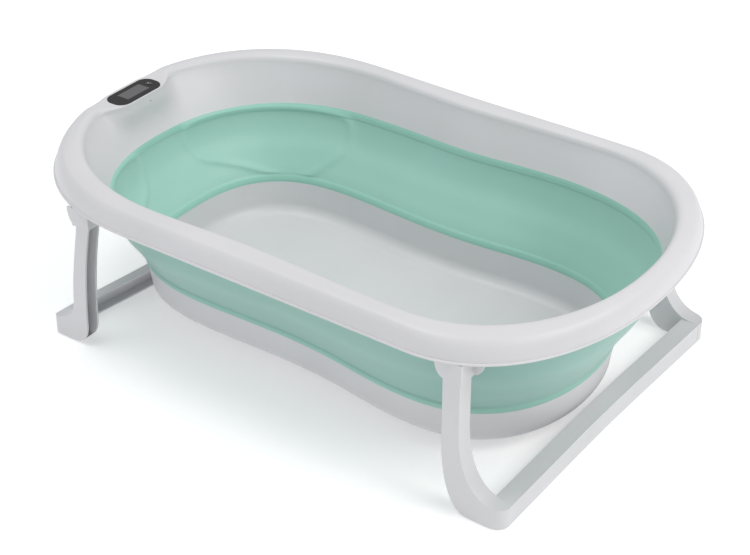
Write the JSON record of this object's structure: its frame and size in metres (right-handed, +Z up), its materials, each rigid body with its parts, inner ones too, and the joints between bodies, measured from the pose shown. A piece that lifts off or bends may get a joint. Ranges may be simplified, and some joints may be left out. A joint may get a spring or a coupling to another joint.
{
  "type": "folding baby bathtub",
  "caption": "Folding baby bathtub: rigid oval rim with thermometer, collapsible soft band, rigid pan with drain plug, and U-shaped folding legs.",
  "frame": {"origin": "on the floor, below the middle of the rim's bounding box", "axes": "+X towards the foot end (the long way), +Y across the tub, +Z up"},
  "size_m": [0.82, 0.513, 0.233],
  "materials": {
    "white_plastic": "satin moulded polypropylene",
    "mint_elastomer": "satin moulded thermoplastic elastomer",
    "steel": "plain zinc-plated steel",
    "grip_rubber": "matt anti-slip rubber",
    "charcoal_plastic": "smooth dark plastic",
    "smoked_window": "glossy smoked acrylic",
    "display": "reflective display glass, unlit",
    "circuit": "solder-masked circuit board"
  },
  "bodies": {
    "rim": {"battery_cap": "charcoal_plastic", "bracket_screw_foot_far_1": "steel", "bracket_screw_foot_far_2": "steel", "bracket_screw_foot_near_1": "steel", "bracket_screw_foot_near_2": "steel", "bracket_screw_head_far_1": "steel", "bracket_screw_head_far_2": "steel", "bracket_screw_head_near_1": "steel", "bracket_screw_head_near_2": "steel", "circuit_board": "circuit", "coin_cell": "steel", "hinge_pin_foot_far": "steel", "hinge_pin_foot_near": "steel", "hinge_pin_head_far": "steel", "hinge_pin_head_near": "steel", "lcd_panel": "display", "leg_bracket_foot_far": "white_plastic", "leg_bracket_foot_near": "white_plastic", "leg_bracket_head_far": "white_plastic", "leg_bracket_head_near": "white_plastic", "push_switch": "charcoal_plastic", "rim_frame": "white_plastic", "soft_band": "mint_elastomer", "temperature_probe": "steel", "thermometer_back": "charcoal_plastic", "thermometer_case": "charcoal_plastic", "thermometer_window": "smoked_window"},
    "pan": {"pan": "white_plastic"},
    "drain_plug": {"drain_plug": "mint_elastomer"},
    "foot_leg": {"foot_leg": "white_plastic", "foot_pad_foot_near": "grip_rubber", "foot_pad_foot_far": "grip_rubber"},
    "head_leg": {"head_leg": "white_plastic", "foot_pad_head_near": "grip_rubber", "foot_pad_head_far": "grip_rubber"},
    "power_button": {"power_button": "charcoal_plastic"}
  },
  "joints": [
    {"name": "pan_lift", "type": "slide", "parent": "rim", "child": "pan", "axis": [0, 0, 1], "range_m": [0, 0.138], "deforming": ["soft_band"]},
    {"name": "foot_leg_fold", "type": "hinge", "parent": "rim", "child": "foot_leg", "pos_m": [0.2858, 0, 0.191], "axis": [0, 1, 0], "range_deg": [0, 90]},
    {"name": "head_leg_fold", "type": "hinge", "parent": "rim", "child": "head_leg", "pos_m": [-0.2515, 0, 0.191], "axis": [0, -1, 0], "range_deg": [0, 90]},
    {"name": "drain_plug_pull", "type": "slide", "parent": "pan", "child": "drain_plug", "axis": [0, 0, 1], "range_m": [0, 0.03]},
    {"name": "power_button_press", "type": "slide", "parent": "rim", "child": "power_button", "axis": [0, 0, -1], "range_m": [0, 0.0005], "stiffness_N_per_m": 600}
  ],
  "couplings": [
    {"joint": "foot_leg_fold", "follows": "pan_lift", "rad_per_m": 11.38},
    {"joint": "head_leg_fold", "follows": "pan_lift", "rad_per_m": 11.38}
  ]
}
